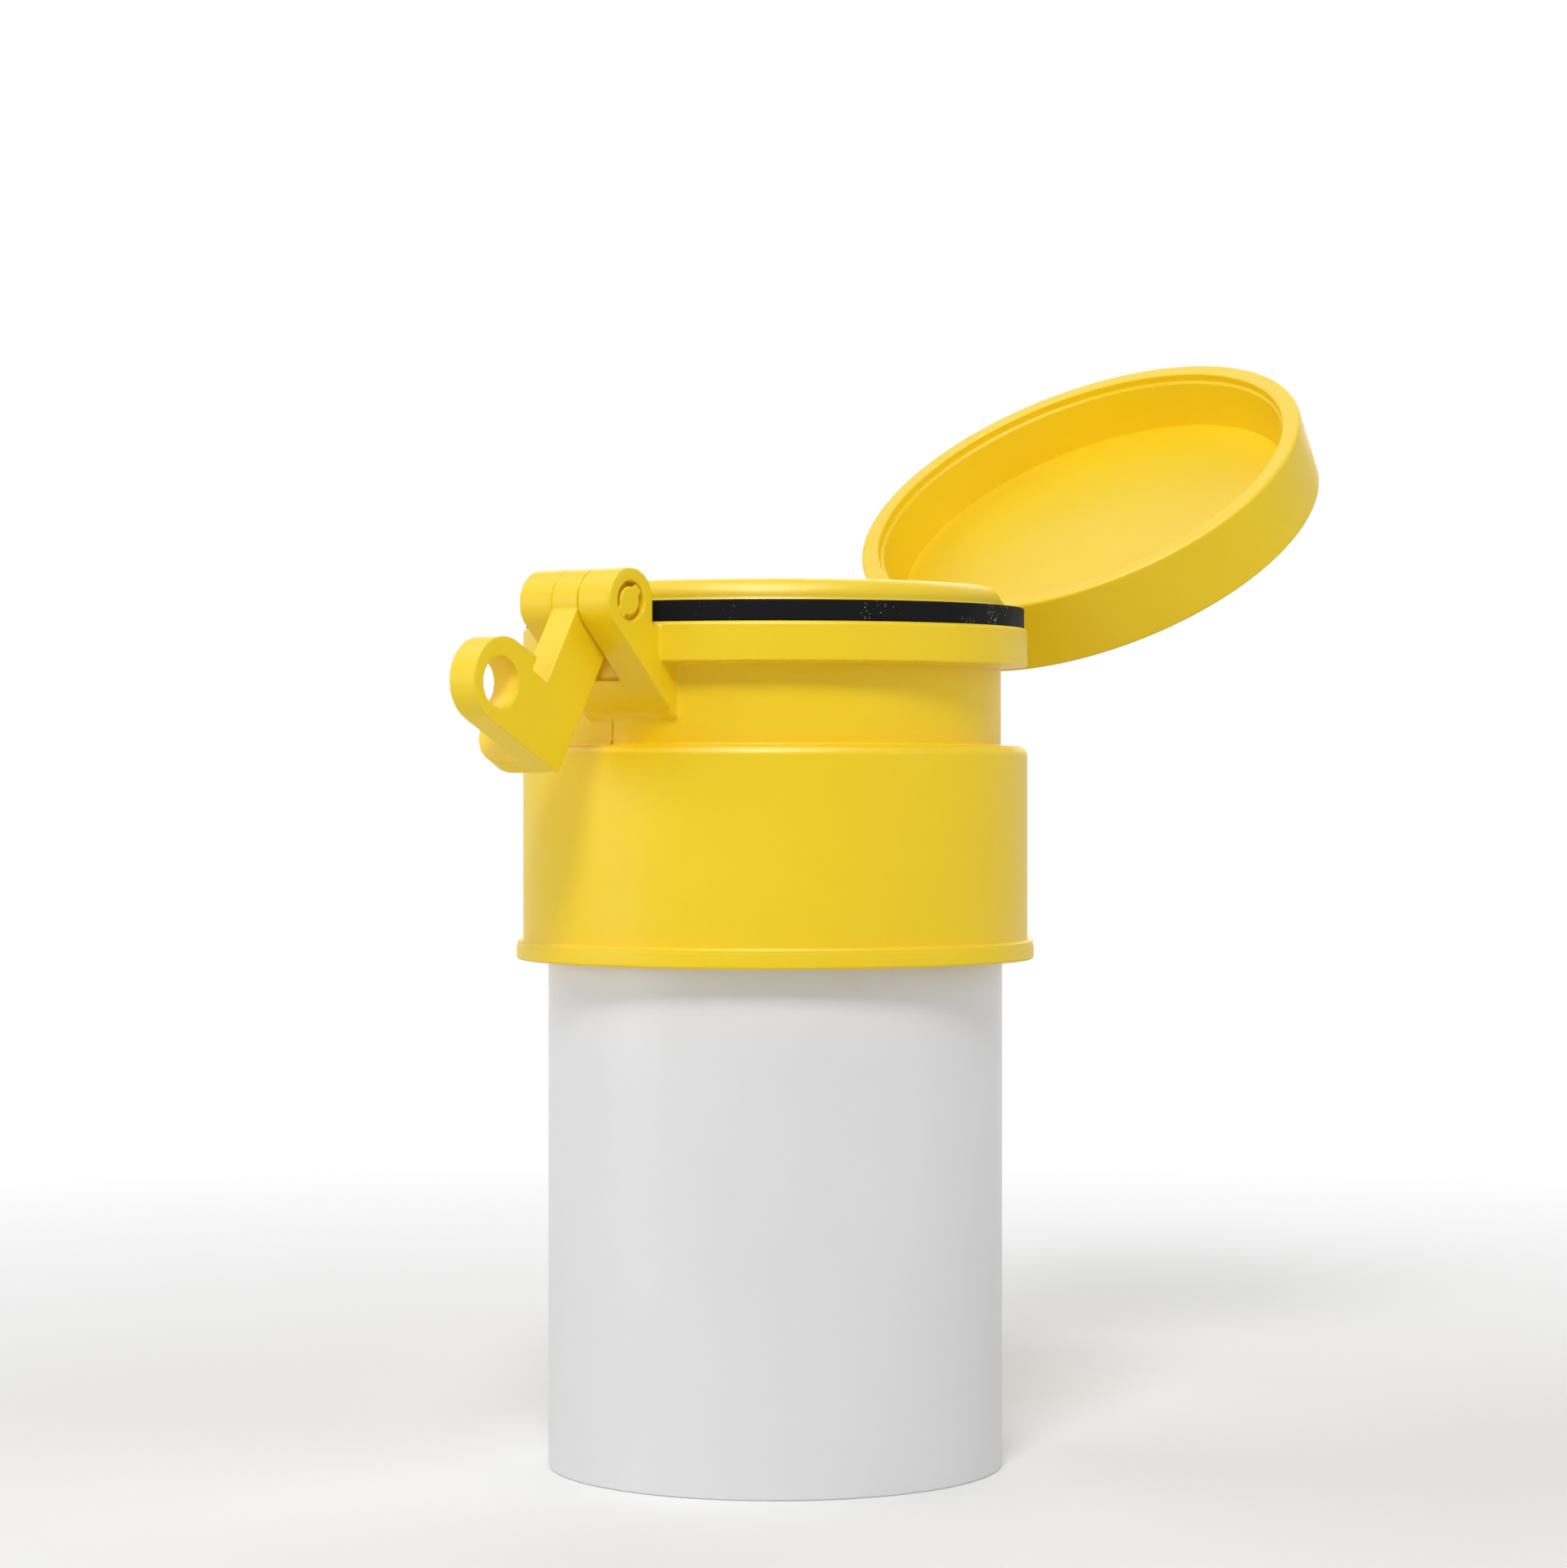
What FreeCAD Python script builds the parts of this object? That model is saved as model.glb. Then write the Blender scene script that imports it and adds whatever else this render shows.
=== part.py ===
import FreeCAD, Part
import math
import os

# Lockable hinged cap on a plastic riser pipe.
# Millimetres, +Z up. The origin is the centre of the pipe's foot. The hasp is at -Y and the
# lid's hinge at +Y, with both pins along X. The lid is drawn open and the hasp hangs down.

V = FreeCAD.Vector
X_AXIS = V(1, 0, 0)
Z_AXIS = V(0, 0, 1)
CENTRE = V(0, 0, 0)

# ---- driving dimensions: riser pipe -------------------------------------------------
pipe_outer_r = 57.15
pipe_wall = 6.02
pipe_exposed = 127.2
pipe_bevel = 1.5
pipe_end_gap = 0.2

# ---- driving dimensions: collar -----------------------------------------------------
socket_clearance = 0.15
socket_wall = 6.2
socket_depth = 47.9
socket_lead_in = 1.2
shoulder_thickness = 5.5
shoulder_round = 3.0
bead_height = 4.65
bead_proud = 1.6
bead_round = 0.6
throat_r = 50.5
neck_wall = 6.35
neck_height = 19.9
flange_width = 13.0
flange_thickness = 9.54
flange_round = 0.9
spigot_wall = 6.65
spigot_rise = 5.38
spigot_round = 4.6
spigot_lip = 0.35
spigot_lip_height = 0.8

# ---- driving dimensions: gasket -----------------------------------------------------
gasket_clearance = 0.1
gasket_width = 5.45
gasket_thickness = 5.08
gasket_edge_round = 0.25

# ---- driving dimensions: the two clevises -------------------------------------------
barrel_r = 7.93
ear_thickness = 10.05
knuckle_thickness = 8.0
knuckle_side_gap = 0.3
web_slope_deg = 45.0
slot_floor_drop = 18.5
hasp_barrel_gap = 0.85
hasp_pin_rise = 4.54
lid_barrel_gap = 1.77
lid_pin_rise = 3.36

# ---- driving dimensions: pins and their clips ---------------------------------------
pin_r = 3.2
pin_ear_clearance = 0.04
pin_knuckle_clearance = 0.08
counterbore_r = 4.75
counterbore_depth = 2.6
pin_head_r = 3.45
pin_head_thickness = 2.2
pin_lug_width = 2.85
pin_lug_gap = 0.15
pin_lug_angle_deg = 135.0
pin_tip_length = 1.9
pin_tip_round = 0.6
clip_thickness = 0.8
clip_bore_clearance = 0.04
clip_edge_gap = 0.3
clip_slit_width = 0.8
clip_slit_depth = 0.9
clip_slits = 6

# ---- driving dimensions: hasp, drawn upright as when it is closed --------------------
hasp_swing_deg = 149.0
hasp_back = 8.8
hasp_front = 5.7
hasp_top = 43.8
hasp_top_fall = 1.4
hasp_corner_round = 1.0
eye_in = 18.5
eye_r = 10.25
padlock_hole_in = 19.2
padlock_hole_up = 34.5
padlock_hole_r = 6.0
claw_drop = 0.5
claw_relief_width = 6.1
claw_relief_height = 3.35

# ---- driving dimensions: thumb tab, flush with the upright hasp's back and top --------
tab_reach = 18.0
tab_height = 20.0
tab_thickness = 5.0
tab_end_round = 11.5
tab_root_round = 8.0

# ---- driving dimensions: lid, drawn closed --------------------------------------------
lid_open_deg = 144.9
lid_seat_gap = 0.1
lid_overhang = 0.67
lid_height = 20.44
lid_draft = 0.74
lid_top_thickness = 5.12
lid_top_round = 1.1
lid_rim_round = 0.8
lid_spigot_gap = 1.95
lid_step_width = 0.75
lid_step_depth = 2.5
lid_inner_draft = 1.89
lid_inner_round = 1.2
strap_height = 14.0
strap_root = 2.5
lug_r = 9.2
lug_thickness = 6.0
lug_side_gap = 0.5

# ---- driving dimensions: stop heels ----------------------------------------------------
heel_gap = 0.3
heel_height = 4.0
heel_below_flange = 0.3

# ---- worked out from the above ----------------------------------------------------------
pipe_bore_r = pipe_outer_r - pipe_wall
socket_bore_r = pipe_outer_r + socket_clearance
socket_outer_r = socket_bore_r + socket_wall
bead_r = socket_outer_r + bead_proud
neck_r = throat_r + neck_wall
flange_r = throat_r + flange_width
spigot_r = throat_r + spigot_wall
gasket_inner_r = spigot_r + gasket_clearance
gasket_outer_r = gasket_inner_r + gasket_width

bead_bottom_z = pipe_exposed
bead_top_z = bead_bottom_z + bead_height
stop_z = bead_bottom_z + socket_depth
shoulder_z = stop_z + shoulder_thickness
flange_bottom_z = shoulder_z + neck_height
flange_top_z = flange_bottom_z + flange_thickness
gasket_top_z = flange_top_z + gasket_thickness
spigot_top_z = gasket_top_z + spigot_rise

slot_width = knuckle_thickness + 2 * knuckle_side_gap
clevis_width = slot_width + 2 * ear_thickness
hasp_pin_reach = flange_r + hasp_barrel_gap + barrel_r
hasp_pin_z = flange_top_z + hasp_pin_rise
lid_pin_reach = flange_r + lid_barrel_gap + barrel_r
lid_pin_z = flange_top_z + lid_pin_rise
eye_up = hasp_top - eye_r

lid_rim_z = gasket_top_z + lid_seat_gap
lid_rim_r = flange_r + lid_overhang
lid_top_z = lid_rim_z + lid_height
lid_top_r = lid_rim_r - lid_draft
lid_mouth_r = spigot_r + lid_spigot_gap
lid_wall_r = lid_mouth_r - lid_step_width
lid_disc_r = lid_wall_r - lid_inner_draft
lid_disc_z = lid_top_z - lid_top_thickness


# ---- outlines ------------------------------------------------------------------------
def rounded_face(corners, to_vector):
    """Closed face from (p, q, corner radius) points, with an arc at each rounded corner."""
    count = len(corners)
    starts = []
    ends = []
    arcs = []
    for i in range(count):
        p, q, radius = corners[i]
        here = V(p, q, 0)
        before = V(corners[i - 1][0], corners[i - 1][1], 0) - here
        after = V(corners[(i + 1) % count][0], corners[(i + 1) % count][1], 0) - here
        if radius == 0:
            starts.append(here)
            ends.append(here)
            arcs.append(None)
            continue
        half = before.getAngle(after) / 2
        before.normalize()
        after.normalize()
        reach = radius / math.tan(half)
        bisector = before + after
        bisector.normalize()
        middle = here + bisector * (radius / math.sin(half) - radius)
        starts.append(here + before * reach)
        ends.append(here + after * reach)
        arcs.append(middle)
    edges = []
    for i in range(count):
        start = to_vector(starts[i])
        end = to_vector(ends[i])
        if arcs[i] is not None:
            edges.append(Part.Arc(start, to_vector(arcs[i]), end).toShape())
        following = to_vector(starts[(i + 1) % count])
        if end.distanceToPoint(following) > 1e-7:
            edges.append(Part.makeLine(end, following))
    return Part.Face(Part.Wire(edges))


def turned(corners):
    """Solid of revolution about Z from (radius, height, corner radius) points."""
    face = rounded_face(corners, lambda v: V(v.x, 0, v.y))
    return face.revolve(CENTRE, Z_AXIS, 360)


def sharp(points):
    """The same points with no rounding."""
    return [(p, q, 0) for p, q in points]


def side_prism(corners, width, x_centre=0.0):
    """Prism along X from (outward, up, corner radius) points, centred on x_centre."""
    face = rounded_face(corners, lambda v: V(x_centre - width / 2, v.x, v.y))
    return face.extrude(V(width, 0, 0))


def cross_rod(radius, length, outward=0.0, up=0.0, x_centre=0.0):
    """Cylinder along X."""
    start = V(x_centre - length / 2, outward, up)
    return Part.makeCylinder(radius, length, start, X_AXIS)


def to_front(shape):
    """Carry a shape drawn about a pin at the origin to the hasp's pin, outward to -Y."""
    placed = shape.copy()
    placed = placed.mirror(CENTRE, V(0, 1, 0))
    placed.translate(V(0, -hasp_pin_reach, hasp_pin_z))
    return placed


def to_back(shape):
    """Carry a shape drawn about a pin at the origin to the lid's pin, outward to +Y."""
    placed = shape.copy()
    placed.translate(V(0, lid_pin_reach, lid_pin_z))
    return placed


def one_solid(shape):
    """Merge coplanar faces and return the only solid."""
    clean = shape.removeSplitter()
    if len(clean.Solids) != 1:
        raise ValueError("expected one solid, found %d" % len(clean.Solids))
    return clean.Solids[0]


# ---- riser pipe and collar --------------------------------------------------------------
def riser_pipe():
    top_z = stop_z - pipe_end_gap
    return turned(sharp([
        (pipe_bore_r, 0),
        (pipe_outer_r, 0),
        (pipe_outer_r, top_z - pipe_bevel),
        (pipe_outer_r - pipe_bevel, top_z),
        (pipe_bore_r, top_z),
    ]))


def collar_turning():
    """Bead, socket, neck, flange and spigot."""
    lip_r = spigot_r + spigot_lip
    lip_top_z = gasket_top_z + spigot_lip_height
    return turned([
        (socket_bore_r + socket_lead_in, bead_bottom_z, 0),
        (bead_r, bead_bottom_z, bead_round),
        (bead_r, bead_top_z, bead_round),
        (socket_outer_r, bead_top_z, 0),
        (socket_outer_r, shoulder_z, shoulder_round),
        (neck_r, shoulder_z, 0),
        (neck_r, flange_bottom_z, 0),
        (flange_r, flange_bottom_z, flange_round),
        (flange_r, flange_top_z, flange_round),
        (spigot_r, flange_top_z, 0),
        (spigot_r, gasket_top_z, 0),
        (lip_r, gasket_top_z, 0),
        (spigot_r, lip_top_z, 0),
        (spigot_r, spigot_top_z, spigot_round),
        (throat_r, spigot_top_z, 0),
        (throat_r, stop_z, 0),
        (socket_bore_r, stop_z, 0),
        (socket_bore_r, bead_bottom_z + socket_lead_in, 0),
    ])


def clevis_block(pin_reach, pin_z):
    """Barrel and sloping web about a pin at the origin, rooted in the neck and flange."""
    slope = math.radians(web_slope_deg)
    touch_out = barrel_r * math.sin(slope)
    touch_up = -barrel_r * math.cos(slope)
    root_in = throat_r + neck_wall / 2 - pin_reach
    root_up = touch_up - (touch_out - root_in) * math.tan(slope)
    ledge_up = flange_top_z - flange_round - pin_z
    web = side_prism(sharp([
        (touch_out, touch_up),
        (root_in, root_up),
        (root_in, ledge_up),
        (-barrel_r, ledge_up),
        (-barrel_r, 0),
        (0, 0),
    ]), clevis_width)
    return web.fuse(cross_rod(barrel_r, clevis_width))


def clevis_cuts(pin_reach):
    """The knuckle's slot, the pin's hole and a counterbore in each ear."""
    back = flange_r - pin_reach
    clear = 2 * barrel_r
    slot = side_prism(sharp([
        (back, -slot_floor_drop),
        (clear, -slot_floor_drop),
        (clear, clear),
        (back, clear),
    ]), slot_width)
    cuts = slot.fuse(cross_rod(pin_r + pin_ear_clearance, clevis_width + clear))
    floor_x = clevis_width / 2 - counterbore_depth
    for side in (-1, 1):
        middle = side * (floor_x + clear / 2)
        cuts = cuts.fuse(cross_rod(counterbore_r, clear, x_centre=middle))
    return cuts


def collar():
    body = collar_turning()
    body = body.fuse(to_front(clevis_block(hasp_pin_reach, hasp_pin_z)))
    body = body.fuse(to_back(clevis_block(lid_pin_reach, lid_pin_z)))
    body = body.cut(to_front(clevis_cuts(hasp_pin_reach)))
    body = body.cut(to_back(clevis_cuts(lid_pin_reach)))
    return one_solid(body)


def mouth_gasket():
    return turned([
        (gasket_inner_r, flange_top_z, 0),
        (gasket_outer_r, flange_top_z, gasket_edge_round),
        (gasket_outer_r, gasket_top_z, gasket_edge_round),
        (gasket_inner_r, gasket_top_z, 0),
    ])


# ---- pins and clips -----------------------------------------------------------------
def pin():
    """Headed pin about the origin: the head with its two lugs at +X, the tip at -X."""
    floor_x = clevis_width / 2 - counterbore_depth
    shaft_length = 2 * floor_x + pin_tip_length
    shaft = cross_rod(pin_r, shaft_length, x_centre=-pin_tip_length / 2)
    tip_edges = [e for e in shaft.Edges if e.CenterOfMass.x < -floor_x - pin_tip_length / 2]
    shaft = shaft.makeChamfer(pin_tip_round, [e for e in tip_edges if len(e.Vertexes) == 1])
    head_x = floor_x + pin_head_thickness / 2
    head = cross_rod(pin_head_r, pin_head_thickness, x_centre=head_x)
    span = 2 * (counterbore_r - pin_lug_gap)
    lugs = Part.makeBox(pin_head_thickness, span, pin_lug_width,
                        V(floor_x, -span / 2, -pin_lug_width / 2))
    lugs = lugs.common(cross_rod(span / 2, pin_head_thickness, x_centre=head_x))
    lugs.rotate(CENTRE, X_AXIS, pin_lug_angle_deg)
    return one_solid(shaft.fuse(head).fuse(lugs))


def pin_clip():
    """Push-on washer about the origin, seated on the counterbore's floor at -X."""
    floor_x = clevis_width / 2 - counterbore_depth
    middle = -(floor_x + clip_thickness / 2)
    bore_r = pin_r + clip_bore_clearance
    washer = cross_rod(counterbore_r - clip_edge_gap, clip_thickness, x_centre=middle)
    washer = washer.cut(cross_rod(bore_r, 2 * clip_thickness, x_centre=middle))
    for i in range(clip_slits):
        slit = Part.makeBox(2 * clip_thickness, clip_slit_width, bore_r + clip_slit_depth,
                            V(middle - clip_thickness, -clip_slit_width / 2, 0))
        slit.rotate(CENTRE, X_AXIS, 360 * i / clip_slits)
        washer = washer.cut(slit)
    return one_solid(washer)


# ---- hasp ---------------------------------------------------------------------------
def hasp_hanging(shape):
    """Turn a shape drawn in the closed pose down to the hanging pose."""
    turned_down = shape.copy()
    turned_down.rotate(CENTRE, X_AXIS, -hasp_swing_deg)
    return turned_down


def hasp_plate():
    """Knuckle, arm, claw and eye, upright about the pin; the lid lies towards -outward."""
    eye_bottom = eye_up - eye_r
    claw_tip = eye_bottom - claw_drop
    relief_in = -hasp_front - claw_relief_width
    plate = side_prism([
        (hasp_back, 0, 0),
        (hasp_back, hasp_top - hasp_top_fall, hasp_corner_round),
        (-eye_in, hasp_top, 0),
        (-eye_in, eye_bottom, 0),
        (relief_in, claw_tip, 0),
        (relief_in, claw_tip + claw_relief_height, 0),
        (-hasp_front, claw_tip + claw_relief_height, 0),
        (-hasp_front, 0, 0),
    ], knuckle_thickness)
    plate = plate.fuse(cross_rod(barrel_r, knuckle_thickness))
    return plate.fuse(cross_rod(eye_r, knuckle_thickness, -eye_in, eye_up))


def thumb_tab():
    """Flat tab beside the upright plate's top corner, reaching out to -X."""
    far_x = -knuckle_thickness / 2 - tab_reach
    high = hasp_top - hasp_top_fall
    face = rounded_face([
        (0, high - tab_height, 0),
        (0, high, 0),
        (far_x, high, tab_end_round),
        (far_x, high - tab_height, tab_root_round),
    ], lambda v: V(v.x, hasp_back - tab_thickness, v.y))
    return face.extrude(V(0, tab_thickness, 0))


def stop_heel(pin_reach, pin_z):
    """Block behind a hanging knuckle that stops on the flange's edge."""
    face_in = flange_r + heel_gap - pin_reach
    high = flange_top_z - heel_below_flange - pin_z
    low = high - heel_height
    return side_prism(sharp([
        (face_in, high),
        (face_in, low),
        (0, low),
        (0, 0),
        (-barrel_r / 2, 0),
    ]), knuckle_thickness)


def hasp():
    body = hasp_hanging(hasp_plate().fuse(thumb_tab()))
    body = body.fuse(stop_heel(hasp_pin_reach, hasp_pin_z))
    padlock_hole = cross_rod(padlock_hole_r, 2 * knuckle_thickness,
                             -padlock_hole_in, padlock_hole_up)
    body = body.cut(hasp_hanging(padlock_hole))
    body = body.cut(cross_rod(pin_r + pin_knuckle_clearance, 2 * knuckle_thickness))
    return one_solid(to_front(body))


# ---- lid ------------------------------------------------------------------------------
def lid_shell():
    return turned([
        (0, lid_disc_z, 0),
        (lid_disc_r, lid_disc_z, lid_inner_round),
        (lid_wall_r, lid_rim_z + lid_step_depth, 0),
        (lid_mouth_r, lid_rim_z + lid_step_depth, 0),
        (lid_mouth_r, lid_rim_z, 0),
        (lid_rim_r, lid_rim_z, lid_rim_round),
        (lid_top_r, lid_top_z, lid_top_round),
        (0, lid_top_z, 0),
    ])


def hinge_strap():
    """Knuckle about the lid's pin, with a strap up the closed lid's skirt."""
    root_in = lid_rim_r - strap_root - lid_pin_reach
    low = lid_rim_z - lid_pin_z
    high = low + strap_height
    span = math.hypot(root_in, high)
    touch = math.atan2(high, root_in) - math.acos(barrel_r / span)
    strap = side_prism(sharp([
        (0, 0),
        (barrel_r * math.cos(touch), barrel_r * math.sin(touch)),
        (root_in, high),
        (root_in, low),
        (-barrel_r * math.cos(math.asin(low / barrel_r)), low),
    ]), knuckle_thickness)
    strap = strap.fuse(cross_rod(barrel_r, knuckle_thickness))
    return to_back(strap)


def padlock_lug(side):
    """Ear on the closed lid's top beside the closed hasp's eye."""
    hole_y = -hasp_pin_reach + padlock_hole_in
    hole_z = hasp_pin_z + padlock_hole_up
    middle = side * (knuckle_thickness / 2 + lug_side_gap + lug_thickness / 2)
    base_z = lid_top_z - lid_top_thickness / 2
    lug = side_prism(sharp([
        (hole_y - lug_r, base_z),
        (hole_y + lug_r, base_z),
        (hole_y + lug_r, hole_z),
        (hole_y - lug_r, hole_z),
    ]), lug_thickness, middle)
    lug = lug.fuse(cross_rod(lug_r, lug_thickness, hole_y, hole_z, middle))
    inside = Part.makeCylinder(lid_top_r - lid_top_round / 2, 2 * lid_height, V(0, 0, base_z))
    lug = lug.common(inside)
    return lug.cut(cross_rod(padlock_hole_r, 2 * lug_thickness, hole_y, hole_z, middle))


def lid():
    body = lid_shell().fuse(hinge_strap())
    for side in (-1, 1):
        body = body.fuse(padlock_lug(side))
    hinge = V(0, lid_pin_reach, lid_pin_z)
    body.rotate(hinge, X_AXIS, -lid_open_deg)
    body = body.fuse(to_back(stop_heel(lid_pin_reach, lid_pin_z)))
    pin_hole = cross_rod(pin_r + pin_knuckle_clearance, 2 * knuckle_thickness)
    return one_solid(body.cut(to_back(pin_hole)))


# ---- write the parts -------------------------------------------------------------------
def main():
    parts = {
        "riser_pipe": riser_pipe(),
        "collar": collar(),
        "mouth_gasket": mouth_gasket(),
        "hasp": hasp(),
        "hasp_pin": to_front(pin()),
        "hasp_pin_clip": to_front(pin_clip()),
        "lid": lid(),
        "lid_pin": to_back(pin()),
        "lid_pin_clip": to_back(pin_clip()),
    }
    os.makedirs("parts", exist_ok=True)
    for name, shape in parts.items():
        shape.exportStep("parts/" + name + ".step")
        box = shape.BoundBox
        print(name, shape.isValid(), len(shape.Solids), round(shape.Volume),
              [round(v, 2) for v in (box.XMin, box.XMax, box.YMin, box.YMax, box.ZMin, box.ZMax)])


main()
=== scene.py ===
import math

import bmesh
import bpy
from mathutils import Matrix, Vector


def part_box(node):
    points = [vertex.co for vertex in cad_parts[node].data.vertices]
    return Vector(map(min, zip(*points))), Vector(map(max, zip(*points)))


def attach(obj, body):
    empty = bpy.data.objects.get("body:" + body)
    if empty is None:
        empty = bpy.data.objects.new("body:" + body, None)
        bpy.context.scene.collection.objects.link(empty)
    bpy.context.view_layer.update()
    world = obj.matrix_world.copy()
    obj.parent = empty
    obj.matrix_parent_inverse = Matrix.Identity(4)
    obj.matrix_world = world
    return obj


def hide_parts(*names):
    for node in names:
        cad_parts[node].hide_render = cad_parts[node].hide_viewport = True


# Lockable hinged cap on a plastic riser pipe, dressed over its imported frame.
# Sizes are in millimetres and meshes in metres. +Z is up the pipe, the hasp is at -Y,
# the lid's hinge at +Y, and both pins lie along X.

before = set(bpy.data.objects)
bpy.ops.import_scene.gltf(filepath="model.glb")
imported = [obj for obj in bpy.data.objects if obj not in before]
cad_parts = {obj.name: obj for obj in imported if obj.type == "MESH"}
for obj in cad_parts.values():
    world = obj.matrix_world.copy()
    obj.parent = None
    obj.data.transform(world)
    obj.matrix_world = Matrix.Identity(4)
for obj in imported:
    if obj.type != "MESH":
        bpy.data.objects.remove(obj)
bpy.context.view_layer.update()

MM = 0.001
FULL_TURN = 2 * math.pi

# ---- sizes: riser pipe ----------------------------------------------------------------
pipe_outer_r = 57.15
pipe_wall = 6.02
pipe_end_gap = 0.2
pipe_bevel = 1.5
pipe_foot_round = 0.5

# ---- sizes: collar --------------------------------------------------------------------
socket_clearance = 0.15
socket_wall = 6.2
socket_depth = 47.9
socket_lead_in = 1.2
socket_mouth_round = 0.2
shoulder_thickness = 5.5
shoulder_round = 2.6
bead_height = 4.65
bead_proud = 1.6
bead_round = 0.7
bead_top_round = 0.35
bead_top_fillet = 0.35
bead_line_depth = 0.22
bead_line_height = 0.35
throat_r = 50.5
throat_round = 0.8
neck_wall = 6.35
neck_height = 19.9
neck_fillet = 0.5
flange_width = 13.0
flange_thickness = 9.54
flange_round = 1.1
flange_foot_round = 0.5
spigot_wall = 6.65
spigot_rise = 5.38
spigot_round = 4.6
spigot_lip = 0.35
spigot_lip_height = 0.8
lip_edge_round = 0.08
lip_top_fillet = 0.15
mould_line_deg = 5.45
mould_line_width = 0.5
mould_line_proud = 0.3
mould_line_sunk = 1.0
mould_line_overlap = 2.0
mould_pit_r = 0.7
mould_pit_rise = 0.4

# ---- sizes: gasket --------------------------------------------------------------------
gasket_clearance = 0.1
gasket_width = 5.45
gasket_thickness = 5.08
gasket_edge_round = 0.4

# ---- sizes: clevises ------------------------------------------------------------------
barrel_r = 7.93
ear_thickness = 10.05
knuckle_thickness = 8.0
knuckle_side_gap = 0.3
web_slope_deg = 45.0
slot_floor_drop = 18.5
hasp_barrel_gap = 0.85
hasp_pin_rise = 4.54
groove_gap = 0.14
web_foot_round = 2.4
web_foot_drop = 1.0
web_blend_reach = 2.5
web_blend_rounds = 20
lid_barrel_gap = 1.77
lid_pin_rise = 3.36

# ---- sizes: pins and clips ------------------------------------------------------------
pin_r = 3.2
pin_ear_clearance = 0.04
pin_knuckle_clearance = 0.08
counterbore_r = 4.75
counterbore_depth = 2.6
pin_head_r = 3.45
pin_head_thickness = 2.2
pin_head_round = 0.35
pin_lug_width = 2.85
pin_lug_gap = 0.15
pin_lug_angle_deg = 135.0
pin_tip_length = 1.9
pin_tip_round = 0.6
clip_thickness = 0.8
clip_bore_clearance = 0.04
clip_edge_gap = 0.3
clip_slit_width = 0.8
clip_slit_depth = 0.9
clip_slits = 6
clip_edge_bevel = 0.08
clip_bevel_segments = 2
clip_bevel_limit_deg = 40.0

# ---- sizes: hasp, upright as when it is closed ------------------------------------------
hasp_swing_deg = 149.0
hasp_back = 8.8
hasp_front = 5.7
hasp_top = 43.8
hasp_top_fall = 1.4
hasp_corner_round = 1.0
eye_in = 18.5
eye_r = 10.25
padlock_hole_in = 19.2
padlock_hole_up = 34.5
padlock_hole_r = 6.0
claw_drop = 0.5
claw_relief_width = 5.75
claw_relief_height = 3.35
claw_tip_round = 0.2

# ---- sizes: thumb tab, flush with the upright hasp's back and top ------------------------
tab_reach = 18.0
tab_height = 20.0
tab_thickness = 5.0
tab_end_round = 11.5
tab_root_round = 8.0

# ---- sizes: lid, closed -----------------------------------------------------------------
lid_open_deg = 144.9
lid_seat_gap = 0.1
lid_overhang = 0.67
lid_height = 20.44
lid_draft = 0.74
lid_top_thickness = 5.12
lid_top_round = 1.1
lid_rim_round = 0.9
lid_spigot_gap = 1.95
lid_step_width = 0.75
lid_step_depth = 2.5
lid_step_round = 0.5
lid_inner_draft = 1.89
strap_height = 14.0
strap_root = 2.5
lug_r = 9.2
lug_thickness = 6.0
lug_side_gap = 0.5
heel_gap = 0.3
heel_height = 4.0
heel_below_flange = 0.3

# ---- sizes: grounds, the patches of a turning that fillets run out on, and their windows -----
blend_sink = 0.015
ground_depth = 3.0
ground_lift = 1.0
ground_side = 5.0
strap_ground_in = 1.5
lug_ground_side = 3.0
window_in = 8.0
window_out = 4.0
window_over = 2.0
lid_window_out = 5.0
lid_window_over = 1.0
lug_window_out = 12.0

# ---- how finely the pieces are made -------------------------------------------------------
turning_segments = 192
rod_segments = 72
tooth_arc_steps = 8
arc_step_deg = 12.0
arc_least_steps = 2
ring_step = 5.0
turning_weld = 0.002
washer_weld = 0.005
soft_grain = 0.42
hasp_grain = 0.28
pin_grain = 0.2
soft_rounds = 4
smooth_factor = 0.5
sharp_angle_deg = 38.0

# ---- worked out from the above --------------------------------------------------------------
bead_bottom_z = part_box("collar")[0].z / MM
pipe_bore_r = pipe_outer_r - pipe_wall
socket_bore_r = pipe_outer_r + socket_clearance
socket_outer_r = socket_bore_r + socket_wall
bead_r = socket_outer_r + bead_proud
neck_r = throat_r + neck_wall
flange_r = throat_r + flange_width
spigot_r = throat_r + spigot_wall
gasket_inner_r = spigot_r + gasket_clearance
gasket_outer_r = gasket_inner_r + gasket_width
bead_top_z = bead_bottom_z + bead_height
stop_z = bead_bottom_z + socket_depth
shoulder_z = stop_z + shoulder_thickness
flange_bottom_z = shoulder_z + neck_height
flange_top_z = flange_bottom_z + flange_thickness
gasket_top_z = flange_top_z + gasket_thickness
spigot_top_z = gasket_top_z + spigot_rise
slot_width = knuckle_thickness + 2 * groove_gap
clevis_width = knuckle_thickness + 2 * knuckle_side_gap + 2 * ear_thickness
counterbore_floor_x = clevis_width / 2 - counterbore_depth
hasp_pin_reach = flange_r + hasp_barrel_gap + barrel_r
hasp_pin_z = flange_top_z + hasp_pin_rise
lid_pin_reach = flange_r + lid_barrel_gap + barrel_r
lid_pin_z = flange_top_z + lid_pin_rise
eye_up = hasp_top - eye_r
lid_rim_z = gasket_top_z + lid_seat_gap
lid_rim_r = flange_r + lid_overhang
lid_top_z = lid_rim_z + lid_height
lid_top_r = lid_rim_r - lid_draft
lid_mouth_r = spigot_r + lid_spigot_gap
lid_wall_r = lid_mouth_r - lid_step_width
lid_disc_r = lid_wall_r - lid_inner_draft
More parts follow.
